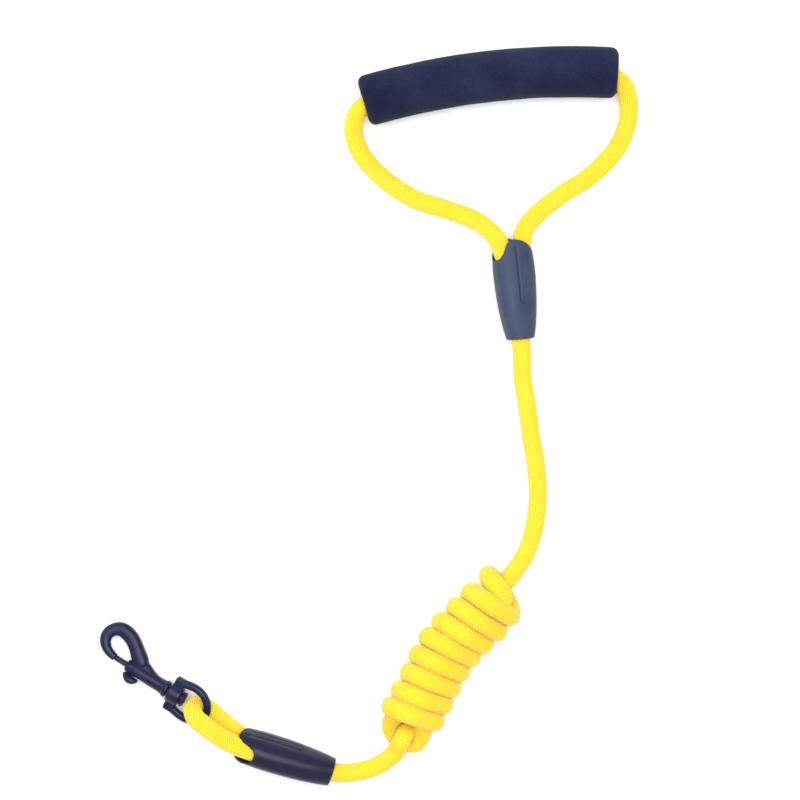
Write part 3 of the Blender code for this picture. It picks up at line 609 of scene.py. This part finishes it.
def plastic_material(name, tone, roughness):
    """Moulded plastic: satin, with a fine grain, flow blotches and faint scuffs."""
    n = Nodes(name, tone, roughness, specular=0.22)
    where = n.place()
    flow = n.noise(where, 45.0, 4.0, 0.6)
    grain = n.noise(where, 1500.0, 2.0, 0.6)
    scuff = n.noise(where, 220.0, 6.0, 0.75)
    dark, light = (tuple(c * k for c in tone) for k in (0.82, 1.2))
    colour = n.ramp(n.math("ADD", n.math("MULTIPLY", flow, 0.75), n.math("MULTIPLY", scuff, 0.25)),
                    ((0.35, dark), (0.5, tone), (0.68, light)))
    height = n.math("ADD", n.math("MULTIPLY", grain, 0.5), n.math("MULTIPLY", scuff, 0.5))
    return n.finish(colour, n.spread(scuff, 0.3, 0.75, roughness - 0.06, roughness + 0.12),
                    n.bump(height, 0.12, 0.0002))


def cast_material(name, tone, roughness):
    """Dark coated casting: slight orange peel, with the coat thinner on its edges."""
    n = Nodes(name, tone, roughness, 0.0, 0.25)
    where = n.place()
    peel = n.noise(where, 800.0, 3.0, 0.55)
    patch = n.noise(where, 130.0, 5.0, 0.65)
    dark, light = (tuple(c * k for c in tone) for k in (0.7, 1.5))
    edge = n.node("ShaderNodeNewGeometry").outputs["Pointiness"]
    wear = n.spread(edge, 0.50, 0.60, 0.0, 0.35)
    colour = n.ramp(n.math("ADD", n.math("MULTIPLY", patch, 0.8), wear),
                    ((0.3, dark), (0.45, tone), (0.8, light)))
    return n.finish(colour, n.spread(patch, 0.3, 0.7, roughness - 0.08, roughness + 0.1),
                    n.bump(n.math("ADD", peel, patch), 0.16, 0.0003))


def metal_material(name, tone, roughness):
    """Bare or plated metal with fine drawn lines."""
    n = Nodes(name, tone, roughness, 1.0)
    where = n.place()
    lines = n.node("ShaderNodeTexWave")
    n.link(where, lines.inputs["Vector"])
    lines.inputs["Scale"].default_value = 900.0
    lines.inputs["Distortion"].default_value = 6.0
    tint = n.noise(where, 300.0, 4.0, 0.6)
    dark, light = (tuple(c * k for c in tone) for k in (0.8, 1.1))
    colour = n.ramp(tint, ((0.35, dark), (0.65, light)))
    return n.finish(colour, n.spread(tint, 0.3, 0.7, roughness - 0.08, roughness + 0.12),
                    n.bump(lines.outputs["Fac"], 0.1, 0.0001))


def dress(obj, material):
    """Gives a piece its only material."""
    obj.data.materials.clear()
    obj.data.materials.append(material)


# ---------------------------------------------------------------- stage

def make_stage():
    """White floor, soft light from all round with a large lamp above, and the camera overhead."""
    scene = bpy.context.scene
    scene.view_settings.view_transform = "Standard"
    world = bpy.data.worlds.new("studio")
    world.use_nodes = True
    background = world.node_tree.nodes["Background"]
    background.inputs["Color"].default_value = (1.0, 1.0, 1.0, 1.0)
    background.inputs["Strength"].default_value = WORLD_STRENGTH
    scene.world = world
    bm = bmesh.new()
    bmesh.ops.create_grid(bm, x_segments=1, y_segments=1, size=FLOOR_HALF)
    mesh = bpy.data.meshes.new("floor")
    bm.to_mesh(mesh)
    bm.free()
    floor = add_object("floor", mesh)
    floor.location = (0.0, 0.0, -FLOOR_DROP)
    dress(floor, Nodes("floor_white", (0.96, 0.96, 0.96), 0.9, specular=0.0).material)
    for name, spot, size, power in LAMPS:
        light = bpy.data.lights.new(name, "AREA")
        light.size = size
        light.energy = power
        lamp = bpy.data.objects.new(name, light)
        lamp.location = spot
        lamp.rotation_euler = (-Vector(spot)).to_track_quat("-Z", "Y").to_euler()
        scene.collection.objects.link(lamp)
    camera = bpy.data.cameras.new("camera")
    camera.lens = CAMERA_LENS
    camera.sensor_width = CAMERA_SENSOR
    camera.clip_end = CAMERA_REACH
    eye = bpy.data.objects.new("camera", camera)
    eye.location = CAMERA_AT
    scene.collection.objects.link(eye)
    scene.camera = eye


# ---------------------------------------------------------------- ropes

def strand(matrix, leg):
    """Points of a strand inside a sleeve, thinner where the ferrule grips it."""
    points = []
    for across, along in leg:
        grip = (min(max((along - CRIMP_FROM) / CRIMP_RISE, 0.0), 1.0)
                * min(max((CRIMP_TO - along) / CRIMP_FALL, 0.0), 1.0))
        spot = matrix @ Vector((across, along, 0.0))
        points.append((*spot, 1.0 - grip * (1.0 - CRIMPED_R / ROPE_R)))
    return points


def bore_drop(along, length):
    """Sideways shift of the grip's bore, which the rope pulls towards the inside of the loop."""
    start = max(0.0, 1.0 - along / GRIP_DROP_RUN) ** 2
    end = max(0.0, 1.0 - (length - along) / GRIP_DROP_RUN) ** 2
    return -GRIP_DROP[0] * start - GRIP_DROP[1] * end


def hank_point(along, side, height, spread=1.0):
    """A point beside the hank's curved axis, with the rope's radius factor."""
    point, out = Arc(HANK_TOP, HANK_BOTTOM, HANK_RISE).at(along)
    spot = point + out * side
    return (spot.x, spot.y, height, spread)


def handle_route(upper):
    """From the cut strand in the sleeve, through the grip, and back into the sleeve."""
    arc = Arc(GRIP_LEFT, GRIP_RIGHT, GRIP_RISE)
    inside = []
    for share in (0.01, 0.05, 0.1, 0.15, 0.3, 0.5, 0.7, 0.85, 0.9, 0.95, 0.99):
        point, out = arc.at(arc.length * share)
        inside.append((*(point + out * bore_drop(arc.length * share, arc.length)), 1.0))
    left = [(*(upper @ Vector(q)), 1.0) for q in ((6.3, 51.8, 0.2), (8.9, 59.6, 0.7))]
    left += [(69.6, 113.2, 14.2, 1.0), (51.5, 120.5, 9.8, 1.0), (32.8, 126.7, 6.6, 1.0),
             (14.4, 139.0, 5.8, 1.0), (2.1, 152.6, 7.4, 1.0), (-2.6, 165.5, 10.8, 1.0),
             (-2.0, 172.0, 13.0, 1.0), (-0.1, 177.2, 14.5, 1.0)]
    right = [(154.9, 192.9, 14.7, 1.0), (157.5, 186.6, 13.1, 1.0),
             (158.4, 178.5, 10.6, 1.0), (157.6, 171.5, 8.8, 1.0), (152.3, 157.7, 6.4, 1.0),
             (137.5, 141.3, FLOOR_Z, 1.0), (119.1, 129.2, FLOOR_Z, 1.0), (104.6, 117.6, 5.9, 1.0)]
    right += [(*(upper @ Vector((a, y, 0.0))), 1.0) for a, y in ((-9.0, 62.0), (-6.5, 52.5))]
    return strand(upper, CUT_LEG) + left + inside + right + strand(upper, THROUGH_LEG)[::-1]


def turn_points():
    """The turns of the hank: half turns over the top and under the back, from side to side.

    The core's two strands lie one above the other, leaning by 45 degrees. Each half turn is an arc
    round one strand, a straight run across, and an arc round the other strand.
    """
    half = CORE_GAP / 2.0 * math.sqrt(0.5)
    lean = math.radians(45.0)
    parts = (lean * TURN_R, CORE_GAP, math.radians(135.0) * TURN_R)
    whole = sum(parts)
    points = []
    for k in range(len(SIDES) - 1):
        (a0, e0), (a1, e1) = SIDES[k], SIDES[k + 1]
        sign = 1.0 if k % 2 == 0 else -1.0
        for share in np.arange(TURN_SAMPLES) / TURN_SAMPLES:
            run = share * whole
            if run < parts[0]:
                angle, slide = run / TURN_R, 0.0
            elif run < parts[0] + parts[1]:
                angle, slide = lean, (run - parts[0]) / parts[1]
            else:
                angle, slide = lean + (run - parts[0] - parts[1]) / TURN_R, 1.0
            out = half * (1.0 - 2.0 * slide) + TURN_R * math.cos(angle)
            up = -half * (1.0 - 2.0 * slide) + TURN_R * math.sin(angle)
            reach = half + TURN_R
            side = (e0 + e1) / 2.0 + out / reach * abs(e0 - e1) / 2.0 * sign
            points.append(hank_point(a0 + (a1 - a0) * share, side, HANK_MIDDLE + sign * up, SQUEEZE))
    points.append(hank_point(*SIDES[-1], HANK_MIDDLE + half, SQUEEZE))
    return points


def lead_route(upper, lower):
    """Out of the upper sleeve, down and up the core, round the turns, and to the lower sleeve."""
    route = [(*(upper @ Vector((0.0, y, 0.0))), 1.0) for y in (9.3, 0.0)]
    route += [(96.1, 35.0, 7.6, 1.0), (96.2, 23.7, 5.9, 1.0), (98.9, 6.1, FLOOR_Z, 1.0),
              (101.2, -11.4, FLOOR_Z, 1.0), (104.1, -29.0, FLOOR_Z, 1.0),
              (105.3, -46.5, FLOOR_Z, 1.0), (103.5, -64.1, 5.9, 1.0),
              (99.2, -78.4, 8.2, 1.0), (94.9, -86.2, 11.0, 1.0), (91.4, -90.9, 12.5, 1.0),
              hank_point(-14.6, -4.0, 13.1)]
    route += [hank_point(*p) for p in ENTERING]
    route += turn_points()
    route += [hank_point(*p) for p in LEAVING]
    route += [hank_point(107.6, -1.5, 11.5), (19.4, -199.2, 11.4, 1.0), (13.6, -203.4, 10.6, 1.0),
              (6.1, -206.7, 9.8, 1.0), (-5.4, -208.9, 9.7, 1.0)]
    return route + [(*(lower @ Vector((0.0, y, 0.0))), 1.0) for y in (0.0, 9.8)]


def end_route(lower):
    """Out of the lower sleeve, over and round the bow of the eye, and back."""
    # (across, along, height): the first two in the plane of the floor, from SNAP_AT
    over = ((6.4, -49.7, 18.8), (7.0, -39.6, 20.6), (6.5, -31.0, 21.9), (5.7, -25.0, 22.3),
            (5.0, -20.2, 21.4), (3.4, -17.2, 19.0), (1.8, -15.9, 15.8), (0.4, -15.6, 12.4),
            (-0.9, -16.3, 9.2), (-1.8, -18.6, 7.0), (-2.0, -22.0, 6.0), (-1.5, -26.0, LOOP_Z),
            (-0.6, -31.0, LOOP_Z), (0.9, -40.0, 6.3))
    heading = math.radians(SNAP_HEADING)
    out = Vector((math.cos(heading), math.sin(heading), 0.0))
    across = Vector((0.0, 0.0, 1.0)).cross(out)
    loop = []
    for side, along, height in over:
        spot = SNAP_AT + out * along + across * side
        loop.append((spot.x, spot.y, height, LOOP_SPREAD if along < -19.0 else 1.0))
    mouth = [(*(lower @ Vector((-6.6, 53.5, 0.0))), 1.0)]
    return strand(lower, CUT_LEG) + loop + mouth + strand(lower, THROUGH_LEG)[::-1]


def make_ropes(upper, lower, material):
    """The three visible ropes."""
    # (name, route, points around, rings in a braid row, seed, solids it stands for)
    ropes = (("rope_handle", handle_route(upper), 72, 3, 5, ("handle_rope",)),
             ("rope_lead", lead_route(upper, lower), 48, 2, 7,
              ("lead_rope_upper", "rope_hank", "lead_rope_lower")),
             ("rope_end_loop", end_route(lower), 96, 4, 11, ("end_loop_rope",)))
    for name, route, around, per_row, seed, nodes in ropes:
        obj, path, length = rope(name, route, around, per_row, seed)
        dress(obj, material)
        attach(obj, "lead")
        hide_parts(*nodes)


# ---------------------------------------------------------------- grip and sleeves

def make_grip(material):
    """Foam tube bent to a shallow arc: soft round end edges, a little crushed where rope enters."""
    arc = Arc(GRIP_LEFT, GRIP_RIGHT, GRIP_RISE)
    edge, last, sides = GRIP_EDGE_R, arc.length, 128
    corner = [(edge * (1.0 - math.cos(a)), GRIP_R - edge * (1.0 - math.sin(a)))
              for a in np.linspace(0.0, math.pi / 2.0, 10)]
    profile = corner + [(edge + (last - 2 * edge) * i / 90, GRIP_R) for i in range(1, 90)]
    profile += [(last - along, radius) for along, radius in reversed(corner)]
    outside = len(profile)
    spread = GRIP_MOUTH_R - GRIP_BORE_R
    lip = [(GRIP_LIP_R * (1.0 - math.cos(a)), GRIP_MOUTH_R + GRIP_LIP_R * (1.0 - math.sin(a)))
           for a in np.linspace(0.0, math.pi / 2.0, 5)]
    steps = [GRIP_LIP_R + (GRIP_DROP_RUN - GRIP_LIP_R) * i / 12.0 for i in range(1, 13)]
    bore = [(a, GRIP_BORE_R + spread * (1.0 - a / GRIP_DROP_RUN)) for a in steps]
    profile += [(last - a, r) for a, r in lip] + [(last - a, r) for a, r in bore]
    profile += [(GRIP_DROP_RUN + (last - 2.0 * GRIP_DROP_RUN) * (1.0 - i / 20.0), GRIP_BORE_R)
                for i in range(1, 20)]
    profile += bore[::-1] + lip[::-1]
    rng = np.random.default_rng(3)
    turn = 2.0 * np.pi * np.arange(sides) / sides
    waves = [(rng.integers(1, 5), rng.uniform(20.0, 70.0), rng.uniform(0.0, 6.28)) for _ in range(7)]
    rings = []
    for i, (along, radius) in enumerate(profile):
        point, out = arc.at(along)
        middle = np.array(point)
        swell = np.zeros(sides)
        if i >= outside:
            middle = middle + np.array(out) * bore_drop(along, last)
        else:
            for k, length, phase in waves:
                swell += GRIP_SWELL * np.sin(k * turn + 2.0 * np.pi * along / length + phase)
        reach = np.minimum(radius + swell, GRIP_R) if i < outside else np.full(sides, radius)
        rings.append(middle + reach[:, None] * (np.cos(turn)[:, None] * np.array(out)
                                                + np.sin(turn)[:, None] * np.array((0.0, 0.0, 1.0))))
    grip = add_object("grip_foam", outward(skin("grip_foam", rings, closed=True)))
    dress(grip, material)
    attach(grip, "lead")
    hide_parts("foam_grip")


def lip_drop(sides):
    """How far the mouth is cut back, round the section of a sleeve whose two faces are alike."""
    angle = np.degrees(2.0 * np.pi * np.arange(sides) / sides)
    from_middle = (angle % 180.0) - 90.0
    spots, drops = zip(*LIP)
    return np.interp(-from_middle, spots, drops)


def groove_depth(x, y):
    """Depth of the line round the tongue: two straight sides and a round end."""
    x = x + TONGUE["shift"]
    half, end = TONGUE["half"], TONGUE["end"]
    reach = np.where(y < end, np.abs(np.hypot(x, y - end) - half), np.abs(np.abs(x) - half))
    fade = np.clip((TONGUE["top"] - y) / TONGUE["fade"], 0.0, 1.0)
    share = np.clip((x + TONGUE["change"]) / (2.0 * TONGUE["change"]), 0.0, 1.0)
    depth = TONGUE["faint"] + (TONGUE["depth"] - TONGUE["faint"]) * share
    return depth * np.exp(-(reach / TONGUE["groove"]) ** 2) * fade


def make_sleeve(name, node, sleeve, material):
    """Hollow oval moulding with rounded lips, a notch at each side and a grooved tongue."""
    matrix = sleeve_matrix(sleeve)
    sides = 192
    outer = smooth_route(SLEEVE_OUTER, OUTER_STEP)
    inner = smooth_route(SLEEVE_INNER, INNER_STEP)
    lip, narrow = [], []
    for angle in np.linspace(0.0, math.pi, 11)[1:-1]:
        for rim, start, end, way in ((lip, outer[-1], inner[0], 1.0),
                                     (narrow, inner[-1], outer[0], -1.0)):
            middle, half = (start + end) / 2.0, (start - end) / 2.0
            wall = abs(start[2] - end[2]) / 2.0
            point = middle + half * math.cos(angle)
            point[0] = middle[0] + way * math.sin(angle) * min(wall, SLEEVE_RIM)
            rim.append(point)
    rings = []
    stations = list(outer) + lip + list(inner) + narrow
    for k, (along, half_width, half_thickness) in enumerate(stations):
        is_outer = k < len(outer)
        share = 0.0 if is_outer else min(1.0, (k - len(outer)) / len(lip))
        if k >= len(outer) + len(lip) + len(inner):
            share = 0.0
        power = SLEEVE_POWER + BORE_POWER_GAIN * share
        a, b = superellipse(half_width, half_thickness, power, sides)
        pull = max(0.0, (along - NOTCH_FROM) / (SLEEVE_LENGTH - NOTCH_FROM))
        y = along - pull * lip_drop(sides)
        if is_outer:
            b = b + np.where(b < 0.0, groove_depth(a, y), 0.0)
        rings.append(np.column_stack((a, y, b)))
    obj = add_object(name, outward(skin(name, through(matrix, rings), closed=True), 60.0))
    dress(obj, material)
    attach(obj, "lead")
    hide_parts(node)


# ---------------------------------------------------------------- snap

def local_mesh(name, rings):
    """Closed body of rings, ready to be joined or cut away."""
    return outward(skin(name, rings))


def make_hook(snap, material):
    """Cast hook with a leaf-shaped flank that runs down on to the barrel, bored and slotted."""
    wire = bar(bar_samples(HOOK_WIRE, 0.8), snap, 40)
    neck = bar(bar_samples(NECK, 1.0), snap, 40)
    barrel = lathe(BARREL_PROFILE, TURNED_STEPS, snap)
    bodies = [local_mesh(n, r) for n, r in (("wire", wire), ("neck", neck), ("barrel", barrel))]
    bore = local_mesh("bore", cylinder(BORE_R, 0.0, BORE_TO, snap))
    slot = block((SLOT_REACH, SLOT_WIDTH, SLOT_TO - SLOT_FROM),
                 (SLOT_REACH / 2.0, 0.0, (SLOT_FROM + SLOT_TO) / 2.0), snap)
    hook = merged("hook_casting", bodies, CAST_VOXEL, 4, (bore, slot))
    dress(hook, material)
    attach(hook, "hook")
    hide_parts("hook_body")


def make_eye(snap, material):
    """Swivel eye: thick base bar with a boss, arms that thin towards the round bow."""
    eye = snap @ Matrix.Rotation(math.radians(EYE_ROLL), 4, "Z")
    last = len(BOW_HALF) - 1
    stations = [(x, z, *(BOW_THICK - thinning * i / last for thinning in BOW_THINNING))
                for i, (x, z) in enumerate(BOW_HALF)]
    bow = stations + [(-x, z, w, h) for x, z, w, h in reversed(stations[:-1])]
    bodies = [local_mesh("bow", bar(bar_samples(bow, 0.8), eye, 36)),
              local_mesh("boss", lathe(BOSS_PROFILE, TURNED_STEPS, eye)),
              block(EYE_BAR, (0.0, 0.0, EYE_BAR_AT), eye, EYE_BAR_EDGE)]
    bore = local_mesh("eye_bore", cylinder(EYE_BORE_R, -12.0, 6.0, eye))
    obj = merged("eye_casting", bodies, CAST_VOXEL, 3, (bore,))
    dress(obj, material)
    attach(obj, "eye")
    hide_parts("swivel_eye")


def make_pin(snap, material):
    """Headed swivel pin, with a turned groove below its head."""
    mesh = outward(skin("pin_turned", lathe(PIN_PROFILE, TURNED_STEPS, snap)), 35.0)
    pin = add_object("pin_turned", mesh)
    dress(pin, material)
    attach(pin, "hook")
    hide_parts("swivel_pin")


def make_knob(snap, material):
    """Thumb knob: a half-moon pad with shallow ribs, on a flat stem with a round shank."""
    rings = []
    count = 44
    out, across, along = PAD_HALF
    for z in np.linspace(-1.0, 1.0, 49):
        width = math.sqrt(max(1.0 - abs(z) ** PAD_OUTLINE, 0.0004))
        a, b = superellipse(out * width, across * width ** 0.9, PAD_POWER, count)
        bow = PAD_BOW * z * z
        rib = RIB_HEIGHT * math.cos(z * along * 2.0 * math.pi / RIB_PITCH) * (width ** 2)
        a = a + np.where(a > 0.0, rib, 0.0)
        rings.append(np.column_stack((PAD_OUT - bow + a, b, PAD_AT + along * z + np.zeros(count))))
    pad = local_mesh("pad", through(snap, rings))
    stem_low = BOLT_R + KNOB_GAP
    stem = block((PAD_OUT - stem_low, KNOB_WIDTH, KNOB_TO - KNOB_FROM),
                 ((PAD_OUT + stem_low) / 2.0, 0.0, (KNOB_FROM + KNOB_TO) / 2.0), snap, 0.35)
    neck = block(KNOB_NECK, KNOB_NECK_AT, snap, 0.9)
    sideways = snap @ Matrix.Translation((0.0, 0.0, SHANK_AT)) @ Matrix.Rotation(math.radians(90.0), 4, "Y")
    shank = local_mesh("shank", cylinder(KNOB_HOLE_R - KNOB_GAP, SHANK_FROM, SHANK_TO, sideways))
    knob = merged("knob_pad", [pad, stem, neck, shank], KNOB_VOXEL, 2)
    dress(knob, material)
    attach(knob, "latch")
    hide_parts("thumb_knob")


def make_spring(snap, material):
    """Latch spring: a coil from the end of the bore to the bolt."""
    count = SPRING_TURNS * 28
    turn = 2.0 * np.pi * SPRING_TURNS * np.arange(count + 1) / count
    flat = SPRING_WIRE_R * 2.0 / (SPRING_TO - SPRING_FROM)
    end = 1.0 / SPRING_TURNS
    rise = np.interp(np.linspace(0.0, 1.0, count + 1), (0.0, end, 1.0 - end, 1.0),
                     (0.0, flat, 1.0 - flat, 1.0))
    height = SPRING_FROM + SPRING_WIRE_R + (SPRING_TO - SPRING_FROM - 2.0 * SPRING_WIRE_R) * rise
    coil = np.column_stack((SPRING_COIL_R * np.cos(turn), SPRING_COIL_R * np.sin(turn), height))
    around = 2.0 * np.pi * np.arange(10) / 10
    rings = tube(through(snap, coil), SPRING_WIRE_R, around[None, :])
    spring = add_object("spring_coil", outward(skin("spring_coil", rings)))
    dress(spring, material)
    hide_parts("latch_spring")
    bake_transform(spring)


def main():
    """Stage, ropes, grip, sleeves, snap, and the looks of the plain metal parts."""
    make_stage()
    upper, lower, snap = sleeve_matrix(UPPER_SLEEVE), sleeve_matrix(LOWER_SLEEVE), snap_matrix()
    make_ropes(upper, lower, rope_material())
    make_grip(foam_material())
    make_sleeve("sleeve_upper", "upper_sleeve", UPPER_SLEEVE,
                plastic_material("sleeve_satin", (0.036, 0.049, 0.093), 0.5))
    make_sleeve("sleeve_lower", "lower_sleeve", LOWER_SLEEVE,
                plastic_material("sleeve_gloss", (0.009, 0.010, 0.032), 0.34))
    coat = cast_material("snap_coat", (0.007, 0.0085, 0.040), 0.36)
    make_hook(snap, coat)
    make_eye(snap, coat)
    make_pin(snap, coat)
    make_knob(snap, coat)
    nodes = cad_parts
    dress(nodes["latch_bolt"], cast_material("bolt_coat", (0.008, 0.0095, 0.040), 0.34))
    make_spring(snap, metal_material("spring_wire", (0.55, 0.56, 0.58), 0.3))
    ferrule = metal_material("ferrule_metal", (0.6, 0.61, 0.62), 0.35)
    dress(nodes["upper_ferrule"], ferrule)
    dress(nodes["lower_ferrule"], ferrule)


main()
